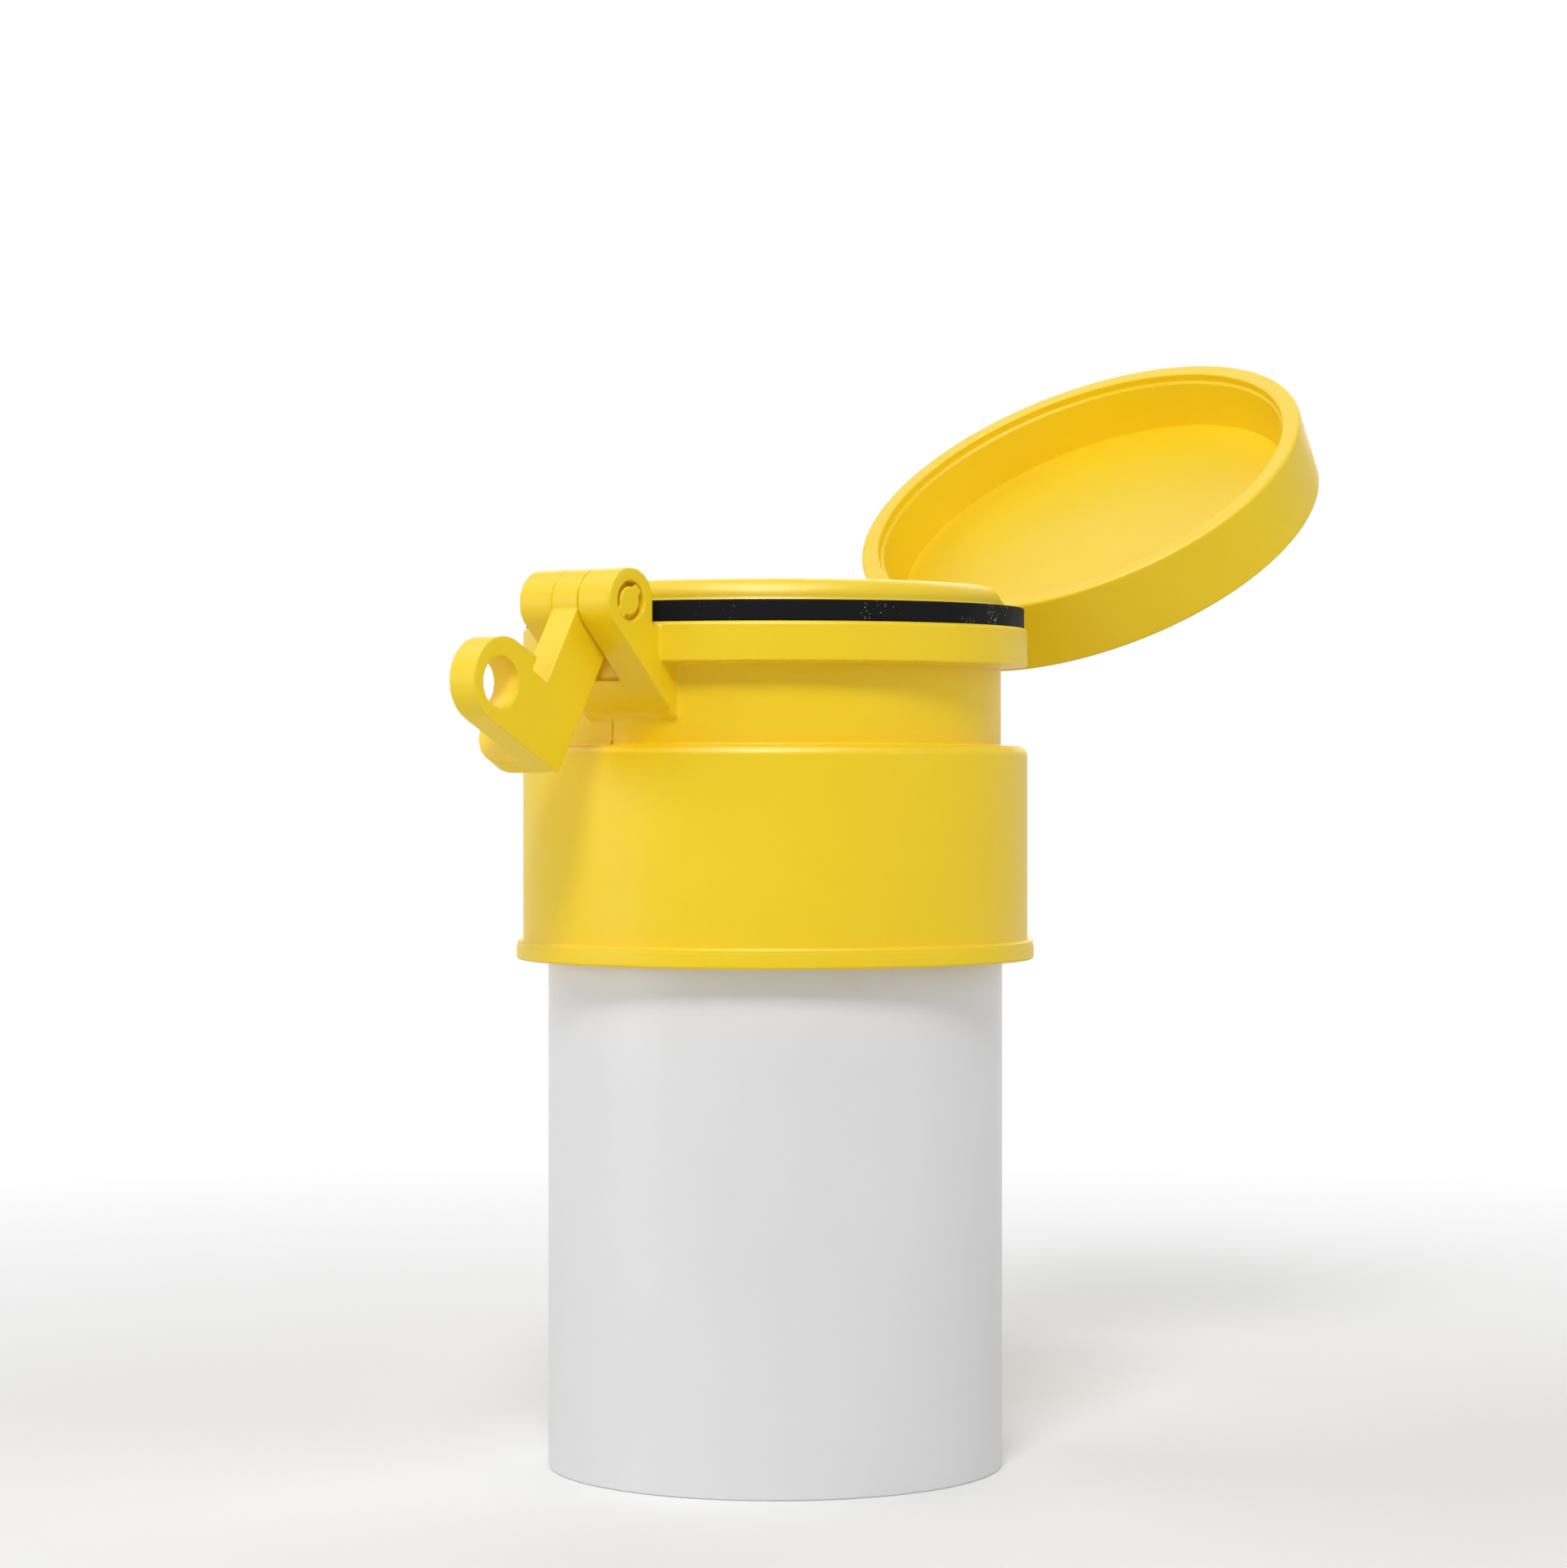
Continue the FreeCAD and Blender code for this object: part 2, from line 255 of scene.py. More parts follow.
lid_disc_z = lid_top_z - lid_top_thickness


# ---- node helpers -------------------------------------------------------------------------
def add_node(tree, kind, inputs=None, **settings):
    """One node with its settings, and its sockets joined or set."""
    node = tree.nodes.new(kind)
    for name, value in settings.items():
        setattr(node, name, value)
    for name, value in (inputs or {}).items():
        socket = node.inputs[name]
        if isinstance(value, bpy.types.NodeSocket):
            tree.links.new(value, socket)
        else:
            socket.default_value = value
    return node


def add_math(tree, operation, first, second=0.0):
    """Output of one math node."""
    return add_node(tree, "ShaderNodeMath", {0: first, 1: second}, operation=operation).outputs[0]


def finish_tree(tree, geometry, finish, output_name):
    """Realize Instances, Set Material and the output."""
    real = add_node(tree, "GeometryNodeRealizeInstances", {"Geometry": geometry})
    painted = add_node(tree, "GeometryNodeSetMaterial", {
        "Geometry": real.outputs["Geometry"],
        "Material": finish,
    })
    add_node(tree, "NodeGroupOutput", {output_name: painted.outputs["Geometry"]})


# ---- Geometry Nodes: a turned piece ---------------------------------------------------------
def turned_piece_tree():
    """Turns a closed outline, given as points at (radius, 0, height), about Z."""
    tree = bpy.data.node_groups.new("turned piece", "GeometryNodeTree")
    sockets = tree.interface
    sockets.new_socket("Outline", in_out="INPUT", socket_type="NodeSocketGeometry")
    sockets.new_socket("Segments", in_out="INPUT", socket_type="NodeSocketInt")
    sockets.new_socket("Weld Distance", in_out="INPUT", socket_type="NodeSocketFloat")
    sockets.new_socket("Finish", in_out="INPUT", socket_type="NodeSocketMaterial")
    sockets.new_socket("Turned", in_out="OUTPUT", socket_type="NodeSocketGeometry")
    given = add_node(tree, "NodeGroupInput").outputs
    points = add_node(tree, "GeometryNodeAttributeDomainSize", {"Geometry": given["Outline"]})
    columns = add_math(tree, "ADD", given["Segments"], 1.0)
    rows = add_math(tree, "ADD", points.outputs["Point Count"], 1.0)
    grid = add_node(tree, "GeometryNodeMeshGrid", {"Vertices X": rows, "Vertices Y": columns})
    index = add_node(tree, "GeometryNodeInputIndex").outputs["Index"]
    centred = add_math(tree, "ADD", index, 0.5)
    row = add_math(tree, "FLOOR", add_math(tree, "DIVIDE", centred, columns))
    column = add_math(tree, "SUBTRACT", index, add_math(tree, "MULTIPLY", row, columns))
    around = add_math(tree, "MODULO", row, points.outputs["Point Count"])
    place = add_node(tree, "GeometryNodeInputPosition").outputs["Position"]
    outline_point = add_node(tree, "GeometryNodeSampleIndex", data_type="FLOAT_VECTOR")
    tree.links.new(given["Outline"], outline_point.inputs["Geometry"])
    tree.links.new(place, outline_point.inputs["Value"])
    tree.links.new(around, outline_point.inputs["Index"])
    share = add_math(tree, "DIVIDE", column, given["Segments"])
    angle = add_math(tree, "MULTIPLY", share, FULL_TURN)
    turn = add_node(tree, "ShaderNodeVectorRotate", {"Angle": angle}, rotation_type="Z_AXIS")
    tree.links.new(outline_point.outputs["Value"], turn.inputs["Vector"])
    wrapped = add_node(tree, "GeometryNodeSetPosition", {
        "Geometry": grid.outputs["Mesh"],
        "Position": turn.outputs["Vector"],
    })
    welded = add_node(tree, "GeometryNodeMergeByDistance", {
        "Geometry": wrapped.outputs["Geometry"],
        "Distance": given["Weld Distance"],
    })
    finish_tree(tree, welded.outputs["Geometry"], given["Finish"], "Turned")
    return tree


# ---- Geometry Nodes: a push-on washer -------------------------------------------------------
def toothed_washer_tree():
    """Repeats one tooth, lying about X, all the way round."""
    tree = bpy.data.node_groups.new("push-on washer", "GeometryNodeTree")
    sockets = tree.interface
    sockets.new_socket("Tooth", in_out="INPUT", socket_type="NodeSocketGeometry")
    sockets.new_socket("Teeth", in_out="INPUT", socket_type="NodeSocketInt")
    sockets.new_socket("Weld Distance", in_out="INPUT", socket_type="NodeSocketFloat")
    sockets.new_socket("Finish", in_out="INPUT", socket_type="NodeSocketMaterial")
    sockets.new_socket("Washer", in_out="OUTPUT", socket_type="NodeSocketGeometry")
    given = add_node(tree, "NodeGroupInput").outputs
    points = add_node(tree, "GeometryNodeMeshLine", {
        "Count": given["Teeth"],
        "Offset": (0.0, 0.0, 0.0),
    })
    index = add_node(tree, "GeometryNodeInputIndex").outputs["Index"]
    share = add_math(tree, "DIVIDE", index, given["Teeth"])
    angle = add_math(tree, "MULTIPLY", share, FULL_TURN)
    turn = add_node(tree, "ShaderNodeCombineXYZ", {"X": angle})
    teeth = add_node(tree, "GeometryNodeInstanceOnPoints", {
        "Points": points.outputs["Mesh"],
        "Instance": given["Tooth"],
        "Rotation": turn.outputs["Vector"],
    })
    real = add_node(tree, "GeometryNodeRealizeInstances", {"Geometry": teeth.outputs["Instances"]})
    welded = add_node(tree, "GeometryNodeMergeByDistance", {
        "Geometry": real.outputs["Geometry"],
        "Distance": given["Weld Distance"],
    })
    finish_tree(tree, welded.outputs["Geometry"], given["Finish"], "Washer")
    return tree


def run_tree(piece, tree, values):
    """Put a tree on a piece with its inputs set, and turn the result into a plain mesh."""
    modifier = piece.modifiers.new(tree.name, "NODES")
    modifier.node_group = tree
    for item in tree.interface.items_tree:
        if item.item_type == "SOCKET" and item.in_out == "INPUT" and item.name in values:
            modifier[item.identifier] = values[item.name]
    settle(piece)


# ---- mesh helpers ---------------------------------------------------------------------------
def new_piece(name, mesh):
    """Object at the origin holding a mesh."""
    piece = bpy.data.objects.new(name, mesh)
    bpy.context.scene.collection.objects.link(piece)
    return piece


def settle(piece):
    """Turn the piece's modifiers into a plain mesh."""
    bpy.context.view_layer.update()
    depsgraph = bpy.context.evaluated_depsgraph_get()
    mesh = bpy.data.meshes.new_from_object(piece.evaluated_get(depsgraph))
    piece.modifiers.clear()
    piece.data = mesh


def rounded(corners):
    """Outline points from (p, q, corner radius), each rounded corner in short chords."""
    points = []
    count = len(corners)
    for i in range(count):
        p, q, radius = corners[i]
        here = Vector((p, q))
        if radius == 0:
            points.append(here)
            continue
        before = (Vector(corners[i - 1][:2]) - here).normalized()
        after = (Vector(corners[(i + 1) % count][:2]) - here).normalized()
        half = before.angle(after) / 2
        turn = math.pi - 2 * half
        centre = here + (before + after).normalized() * (radius / math.sin(half))
        spoke = here + before * (radius / math.tan(half)) - centre
        left = before.x * after.y - before.y * after.x < 0
        steps = max(arc_least_steps, math.ceil(math.degrees(turn) / arc_step_deg))
        for step in range(steps + 1):
            angle = turn * step / steps
            points.append(centre + Matrix.Rotation(angle if left else -angle, 2) @ spoke)
    return points


def sharp(points):
    """The same points with no rounding."""
    return [(p, q, 0) for p, q in points]


def faces_outward(piece):
    """Point every face outwards."""
    shape = bmesh.new()
    shape.from_mesh(piece.data)
    bmesh.ops.recalc_face_normals(shape, faces=shape.faces)
    shape.to_mesh(piece.data)
    shape.free()


def stepped(points):
    """The same closed outline with no chord longer than ring_step."""
    stepped_points = []
    for i, point in enumerate(points):
        after = points[(i + 1) % len(points)]
        parts = max(1, math.ceil((after - point).length / ring_step))
        stepped_points += [point.lerp(after, part / parts) for part in range(parts)]
    return stepped_points


def turned(name, corners, finish, segments=turning_segments):
    """A turned piece about Z from (radius, height, corner radius) points."""
    points = [(point.x * MM, 0, point.y * MM) for point in stepped(rounded(corners))]
    mesh = bpy.data.meshes.new(name)
    mesh.from_pydata(points, [(i, (i + 1) % len(points)) for i in range(len(points))], [])
    piece = new_piece(name, mesh)
    run_tree(piece, turned_tree, {
        "Segments": segments,
        "Weld Distance": turning_weld * MM,
        "Finish": finish,
    })
    faces_outward(piece)
    return piece


def prism_between(name, outline, low_x, high_x):
    """Closed prism along X from an outline of (outward, up) points."""
    shape = bmesh.new()
    rings = []
    for x in (low_x, high_x):
        rings.append([shape.verts.new((x * MM, point[0] * MM, point[1] * MM)) for point in outline])
    shape.faces.new(rings[0])
    shape.faces.new(rings[1][::-1])
    count = len(outline)
    for i in range(count):
        j = (i + 1) % count
        shape.faces.new((rings[0][i], rings[1][i], rings[1][j], rings[0][j]))
    bmesh.ops.recalc_face_normals(shape, faces=shape.faces)
    mesh = bpy.data.meshes.new(name)
    shape.to_mesh(mesh)
    shape.free()
    return new_piece(name, mesh)


def side_prism(corners, width, x_centre=0.0):
    """Prism along X from (outward, up, corner radius) points, centred on x_centre."""
    return prism_between("prism", rounded(corners), x_centre - width / 2, x_centre + width / 2)


def arc_points(radius, start, end, steps):
    """Points of an arc about the origin, with both its ends."""
    angles = [start + (end - start) * i / steps for i in range(steps + 1)]
    return [(radius * math.cos(angle), radius * math.sin(angle)) for angle in angles]


def cross_rod(radius, length, outward=0.0, up=0.0, x_centre=0.0):
    """Cylinder along X."""
    outline = []
    for i in range(rod_segments):
        angle = FULL_TURN * i / rod_segments
        outline.append((outward + radius * math.cos(angle), up + radius * math.sin(angle)))
    return prism_between("rod", outline, x_centre - length / 2, x_centre + length / 2)


def joined(pieces):
    """One object from several; the first keeps its name."""
    shape = bmesh.new()
    for piece in pieces:
        shape.from_mesh(piece.data)
    shape.to_mesh(pieces[0].data)
    shape.free()
    for piece in pieces[1:]:
        bpy.data.objects.remove(piece)
    return pieces[0]


def combined(base, other, operation):
    """Exact union, difference or intersection; the second object is used up."""
    modifier = base.modifiers.new("combine", "BOOLEAN")
    modifier.object = other
    modifier.operation = operation
    modifier.solver = "EXACT"
    settle(base)
    bpy.data.objects.remove(other)
    return base


def without(base, *cuts):
    """Cut each of the other solids out of the first."""
    for cut in cuts:
        combined(base, cut, "DIFFERENCE")
    return base


def moved(piece, matrix):
    """Move the mesh itself, so that the object stays at the origin."""
    piece.data.transform(matrix)
    if matrix.determinant() < 0:
        piece.data.flip_normals()
    return piece


def to_front(piece):
    """Carry a shape drawn about a pin at the origin to the hasp's pin, outward to -Y."""
    place = Matrix.Translation((0, -hasp_pin_reach * MM, hasp_pin_z * MM))
    return moved(piece, place @ Matrix.Scale(-1, 4, (0, 1, 0)))


def to_back(piece):
    """Carry a shape drawn about a pin at the origin to the lid's pin, outward to +Y."""
    return moved(piece, Matrix.Translation((0, lid_pin_reach * MM, lid_pin_z * MM)))


def about_x(degrees, up=0.0, outward=0.0):
    """Turn about a line along X."""
    there = Matrix.Translation((0, outward * MM, up * MM))
    return there @ Matrix.Rotation(math.radians(degrees), 4, "X") @ there.inverted()


def softened(piece, grain):
    """A fine even skin over joined solids, with every edge and inner corner rounded."""
    skin = piece.modifiers.new("skin", "REMESH")
    skin.mode = "VOXEL"
    skin.voxel_size = grain * MM
    skin.use_smooth_shade = True
    rounding = piece.modifiers.new("rounding", "SMOOTH")
    rounding.factor = smooth_factor
    rounding.iterations = soft_rounds
    settle(piece)
    return piece


def blended(piece, height):
    """Smooth a skinned piece further near one height, fading out above and below it."""
    zone = piece.vertex_groups.new(name="blend")
    for vertex in piece.data.vertices:
        weight = 1 - abs(vertex.co.z / MM - height) / web_blend_reach
        if weight > 0:
            zone.add([vertex.index], weight, "REPLACE")
    easing = piece.modifiers.new("easing", "SMOOTH")
    easing.factor = smooth_factor
    easing.iterations = web_blend_rounds
    easing.vertex_group = zone.name
    settle(piece)
    piece.vertex_groups.clear()
    return piece


def dressed(piece, name, finish, body, slot, *nodes):
    """Name the piece, give it its finish, smooth its shading, hang it on its body and hide the
    frame's parts that it stands in for.
    """
    piece.name = name
    piece.data.materials.clear()
    piece.data.materials.append(finish)
    for face in piece.data.polygons:
        face.use_smooth = True
    piece.data.set_sharp_from_angle(angle=math.radians(sharp_angle_deg))
    even = piece.modifiers.new("even", "WEIGHTED_NORMAL")
    even.keep_sharp = True
    settle(piece)
    piece.data.name = name
    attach(piece, body)
    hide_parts(*nodes)
    return piece


# ---- finishes -------------------------------------------------------------------------------
# Noise mostly lies between these two values, and two noises added lie between twice them.
noise_low = 0.3
noise_high = 0.7


def new_finish(name):
    """Empty node material with a Principled shader."""
    material = bpy.data.materials.new(name)
    material.use_nodes = True
    tree = material.node_tree
    tree.nodes.clear()
    shader = add_node(tree, "ShaderNodeBsdfPrincipled")
    add_node(tree, "ShaderNodeOutputMaterial", {"Surface": shader.outputs["BSDF"]})
    return material, tree, shader


def noise_field(tree, scale, detail, stretch=(1, 1, 1)):
    """Noise on Object coordinates, with scale in cycles a metre."""
    place = add_node(tree, "ShaderNodeTexCoord").outputs["Object"]
    mapping = add_node(tree, "ShaderNodeMapping", {"Vector": place, "Scale": stretch})
    noise = add_node(tree, "ShaderNodeTexNoise", {
        "Vector": mapping.outputs["Vector"],
        "Scale": scale,
        "Detail": detail,
    })
    return noise.outputs["Fac"]


def between(tree, value, low, high, out_low, out_high):
    """Map a value from one range to another, clamped."""
    node = add_node(tree, "ShaderNodeMapRange", {
        "Value": value,
        "From Min": low,
        "From Max": high,
        "To Min": out_low,
        "To Max": out_high,
    })
    return node.outputs["Result"]


def mixed(tree, factor, first, second):
    """Mix of two colours."""
    node = add_node(tree, "ShaderNodeMix", data_type="RGBA")
    tree.links.new(factor, node.inputs["Factor"])
    for name, value in (("A", first), ("B", second)):
        socket = [s for s in node.inputs if s.name == name and s.type == "RGBA"][0]
        if isinstance(value, bpy.types.NodeSocket):
            tree.links.new(value, socket)
        else:
            socket.default_value = value
    return [s for s in node.outputs if s.type == "RGBA"][0]


def linear(red, green, blue):
    """Scene-linear colour from 0-255 display values."""
    values = []
    for level in (red, green, blue):
        share = level / 255
        values.append(share / 12.92 if share <= 0.04045 else ((share + 0.055) / 1.055) ** 2.4)
    return (*values, 1.0)


def bumped(tree, shader, height, distance, strength, below=None):
    """Bump from a height field."""
    node = add_node(tree, "ShaderNodeBump", {
        "Height": height,
        "Distance": distance,
        "Strength": strength,
    })
    if below is not None:
        tree.links.new(below, node.inputs["Normal"])
    tree.links.new(node.outputs["Normal"], shader.inputs["Normal"])
    return node.outputs["Normal"]


def clouded(tree, shader, field, dark, light, low=noise_low, high=noise_high):
    """Base colour that drifts between two close tones as a field goes from low to high."""
    tone = between(tree, field, low, high, 0.0, 1.0)
    base = mixed(tree, tone, linear(*dark), linear(*light))
    tree.links.new(base, shader.inputs["Base Color"])
    return base


def grained(tree, shader, coarse, fine, smooth, rough):
    """Roughness between two values, from a coarse and a fine field together."""
    both = add_math(tree, "ADD", coarse, fine)
    roughness = between(tree, both, 2 * noise_low, 2 * noise_high, smooth, rough)
    tree.links.new(roughness, shader.inputs["Roughness"])


def moulded_yellow():
    """Satin injection-moulded yellow with faint flow mottle and fine grain."""
    material, tree, shader = new_finish("moulded yellow")
    mottle = noise_field(tree, scale=22.0, detail=2.0)
    grain = noise_field(tree, scale=900.0, detail=2.0)
    ripple = noise_field(tree, scale=110.0, detail=3.0)
    clouded(tree, shader, mottle, dark=(243, 206, 6), light=(246, 211, 14))
    grained(tree, shader, ripple, grain, smooth=0.36, rough=0.5)
    shader.inputs["IOR"].default_value = 1.45
    waves = bumped(tree, shader, ripple, distance=0.0002, strength=0.12)
    bumped(tree, shader, grain, distance=0.00004, strength=0.25, below=waves)
    return material


def extruded_white():
    """White pipe with faint lengthwise draw lines."""
    material, tree, shader = new_finish("extruded white")
    cloud = noise_field(tree, scale=14.0, detail=2.0)
    lines = noise_field(tree, scale=260.0, detail=3.0, stretch=(1, 1, 0.01))
    grain = noise_field(tree, scale=1200.0, detail=2.0)
    clouded(tree, shader, cloud, dark=(226, 226, 227), light=(232, 232, 234))
    grained(tree, shader, lines, grain, smooth=0.3, rough=0.42)
    shader.inputs["IOR"].default_value = 1.5
    drawn = bumped(tree, shader, lines, distance=0.00005, strength=0.2)
    bumped(tree, shader, grain, distance=0.00002, strength=0.15, below=drawn)
    return material


def black_rubber():
    """Matt black rubber with pale dust caught on it."""
    material, tree, shader = new_finish("black rubber")
    cloud = noise_field(tree, scale=90.0, detail=3.0)
    dust = noise_field(tree, scale=2100.0, detail=1.0)
    patches = noise_field(tree, scale=120.0, detail=2.0)
    base = clouded(tree, shader, cloud, dark=(5, 5, 6), light=(11, 11, 12), low=0.35, high=0.65)
    dust_starts = 1.27
    dust_full = 1.38
    dust_cover = 0.7
    dusting = add_math(tree, "ADD", dust, patches)
    specks = between(tree, dusting, dust_starts, dust_full, 0.0, dust_cover)
    dusty = mixed(tree, specks, base, linear(190, 186, 170))
    tree.links.new(dusty, shader.inputs["Base Color"])
    roughness = between(tree, cloud, noise_low, noise_high, 0.55, 0.75)
    tree.links.new(roughness, shader.inputs["Roughness"])
    shader.inputs["IOR"].default_value = 1.2
    bumped(tree, shader, add_math(tree, "ADD", cloud, dust), distance=0.0001, strength=0.3)
    return material


def zinc_steel():
    """Bright zinc plate, slightly clouded."""
    material, tree, shader = new_finish("zinc steel")
    cloud = noise_field(tree, scale=400.0, detail=3.0)
    scratches = noise_field(tree, scale=2500.0, detail=2.0, stretch=(1, 0.1, 1))
    clouded(tree, shader, cloud, dark=(178, 180, 186), light=(206, 207, 210))
    grained(tree, shader, cloud, scratches, smooth=0.25, rough=0.45)
    shader.inputs["Metallic"].default_value = 1.0
    bumped(tree, shader, scratches, distance=0.00003, strength=0.2)
    return material


turned_tree = turned_piece_tree()
washer_tree = toothed_washer_tree()
yellow = moulded_yellow()
white = extruded_white()
rubber = black_rubber()
zinc = zinc_steel()


# ---- riser pipe and gasket ------------------------------------------------------------------
def riser_pipe():
    """Square-cut pipe, bevelled at the end that sits in the socket."""
    top_z = stop_z - pipe_end_gap
    piece = turned("pipe", [
        (pipe_bore_r, 0, pipe_foot_round),
        (pipe_outer_r, 0, pipe_foot_round),
        (pipe_outer_r, top_z - pipe_bevel, 0),
        (pipe_outer_r - pipe_bevel, top_z, 0),
        (pipe_bore_r, top_z, 0),
    ], white)
    return dressed(piece, "white_pipe", white, "riser", "pipe_plastic", "riser_pipe")


def mouth_gasket():
    """Flat ring on the flange, round the spigot."""
    piece = turned("gasket", [
        (gasket_inner_r, flange_top_z, 0),
        (gasket_outer_r, flange_top_z, gasket_edge_round),
        (gasket_outer_r, gasket_top_z, gasket_edge_round),
        (gasket_inner_r, gasket_top_z, 0),
    ], rubber)
    return dressed(piece, "rubber_gasket", rubber, "riser", "gasket_rubber", "mouth_gasket")


# ---- collar ---------------------------------------------------------------------------------
def collar_turning():
    """Bead, socket, neck, flange and spigot."""
    lip_r = spigot_r + spigot_lip
    lip_top_z = gasket_top_z + spigot_lip_height
    line_z = bead_top_z - bead_round - bead_line_height
    return turned("collar", [
        (socket_bore_r + socket_lead_in, bead_bottom_z, socket_mouth_round),
        (bead_r, bead_bottom_z, bead_round),
        (bead_r, line_z - bead_line_height, 0),
        (bead_r - bead_line_depth, line_z, 0),
        (bead_r - bead_line_depth, bead_top_z, bead_top_round),
        (socket_outer_r, bead_top_z, bead_top_fillet),
        (socket_outer_r, shoulder_z, shoulder_round),
        (neck_r, shoulder_z, neck_fillet),
        (neck_r, flange_bottom_z, neck_fillet),
        (flange_r, flange_bottom_z, flange_foot_round),
        (flange_r, flange_top_z, flange_round),
        (spigot_r, flange_top_z, 0),
        (spigot_r, gasket_top_z, 0),
        (lip_r, gasket_top_z, lip_edge_round),
        (spigot_r, lip_top_z, lip_top_fillet),
        (spigot_r, spigot_top_z, spigot_round),
        (throat_r, spigot_top_z, throat_round),
        (throat_r, stop_z, 0),
        (socket_bore_r, stop_z, 0),
        (socket_bore_r, bead_bottom_z + socket_lead_in, 0),
    ], yellow)


def blend_ground(pin_y):
    """The turning's own surface near a clevis, a hair under it, so that fillets run out on it."""
    inner_r = neck_r - ground_depth
    outer_r = flange_r - blend_sink
    neck_ground_r = neck_r - blend_sink
    low_z = shoulder_z + neck_fillet + ground_lift
    flange_low_z = flange_bottom_z + blend_sink
    flange_high_z = flange_top_z - blend_sink
    ground = turned("ground", [
        (inner_r, low_z, 0),
        (neck_ground_r, low_z, 0),
        (neck_ground_r, flange_low_z, 0),
        (outer_r, flange_low_z, flange_foot_round),
        (outer_r, flange_high_z, flange_round),
        (inner_r, flange_high_z, 0),
    ], yellow)
    near_y = math.copysign(inner_r - window_in, pin_y)
    far_y = math.copysign(flange_r + window_out, pin_y)
    bottom_z = low_z - window_over
    top_z = flange_top_z + window_over
    return windowed(ground, near_y, far_y, bottom_z, top_z, clevis_width / 2 + ground_side)


def windowed(ground, near_y, far_y, low_z, high_z, half_width):
    """The part of a ground that lies in a box about the YZ plane."""
    window = prism_between("window", [
        (near_y, low_z),
        (far_y, low_z),
        (far_y, high_z),
        (near_y, high_z),
    ], -half_width, half_width)
    return combined(ground, window, "INTERSECT")


def clevis(pin_reach, pin_z, carry):
    """Barrel and web with the knuckle's slot, the pin's hole and a counterbore in each ear."""
    slope = math.radians(web_slope_deg)
    touch_out = barrel_r * math.sin(slope)
    touch_up = -barrel_r * math.cos(slope)
    root_in = throat_r + neck_wall / 2 - pin_reach
    foot_out = neck_r - pin_reach
    foot_up = web_foot_z(pin_reach, pin_z) - pin_z
    ledge_up = flange_top_z - flange_round - pin_z
    body = side_prism([
        (touch_out, touch_up, 0),
        (foot_out, foot_up, web_foot_round),
        (foot_out, foot_up - web_foot_drop, 0),
        (root_in, foot_up - web_foot_drop, 0),
        (root_in, ledge_up, 0),
        (-barrel_r, ledge_up, 0),
        (-barrel_r, 0, 0),
        (0, 0, 0),
    ], clevis_width)
    body = combined(body, cross_rod(barrel_r, clevis_width), "UNION")
    back = flange_r - pin_reach
    clear = 2 * barrel_r
    slot = side_prism(sharp([
        (back, -slot_floor_drop),
        (clear, -slot_floor_drop),
        (clear, clear),
        (back, clear),
    ]), slot_width)
    body = without(body, slot, cross_rod(pin_r + pin_ear_clearance, clevis_width + clear))
    for side in (-1, 1):
        middle = side * (counterbore_floor_x + clear / 2)
        body = without(body, cross_rod(counterbore_r, clear, x_centre=middle))
    return carry(body)


def mould_line():
    """Fine raised parting line on the neck below the hasp's web."""
    low = shoulder_z - mould_line_sunk
    high = web_foot_z(hasp_pin_reach, hasp_pin_z) + mould_line_overlap
    face_y = -neck_r - mould_line_proud
    root_y = -neck_r + mould_line_sunk
    line = prism_between("line", [
        (face_y, low),
        (root_y, low),
        (root_y, high),
        (face_y, high),
    ], -mould_line_width / 2, mould_line_width / 2)
    return moved(line, Matrix.Rotation(math.radians(-mould_line_deg), 4, "Z"))


def mould_pit():
    """Pinhole at the foot of the parting line."""
    angle = math.radians(mould_line_deg)
    reach = neck_r + neck_fillet / 2
    shape = bmesh.new()
    bmesh.ops.create_icosphere(shape, subdivisions=3, radius=mould_pit_r * MM)
    height = shoulder_z + mould_pit_rise
    place = Vector((-reach * math.sin(angle), -reach * math.cos(angle), height))
    bmesh.ops.translate(shape, verts=shape.verts, vec=place * MM)
    mesh = bpy.data.meshes.new("pit")
    shape.to_mesh(mesh)
    shape.free()
    return new_piece("pit", mesh)


def web_foot_z(pin_reach, pin_z):
    """Height at which a web's slope meets the neck."""
    slope = math.radians(web_slope_deg)
    run = barrel_r * math.sin(slope) + pin_reach - neck_r
    return pin_z - barrel_r * math.cos(slope) - run * math.tan(slope)


def collar():
    """The turning with its mould line and pinhole, and a clevis blended into each side."""
    piece = combined(collar_turning(), mould_line(), "UNION")
    piece = without(piece, mould_pit())
    for reach, pin_z, carry, sign in (
        (hasp_pin_reach, hasp_pin_z, to_front, -1),
        (lid_pin_reach, lid_pin_z, to_back, 1),
    ):
        block = joined([clevis(reach, pin_z, carry), blend_ground(sign * reach)])
        foot_z = web_foot_z(reach, pin_z) - web_foot_drop / 2
        block = blended(softened(block, soft_grain), foot_z)
        piece = combined(piece, block, "UNION")
    return dressed(piece, "yellow_collar", yellow, "riser", "cap_plastic", "collar")


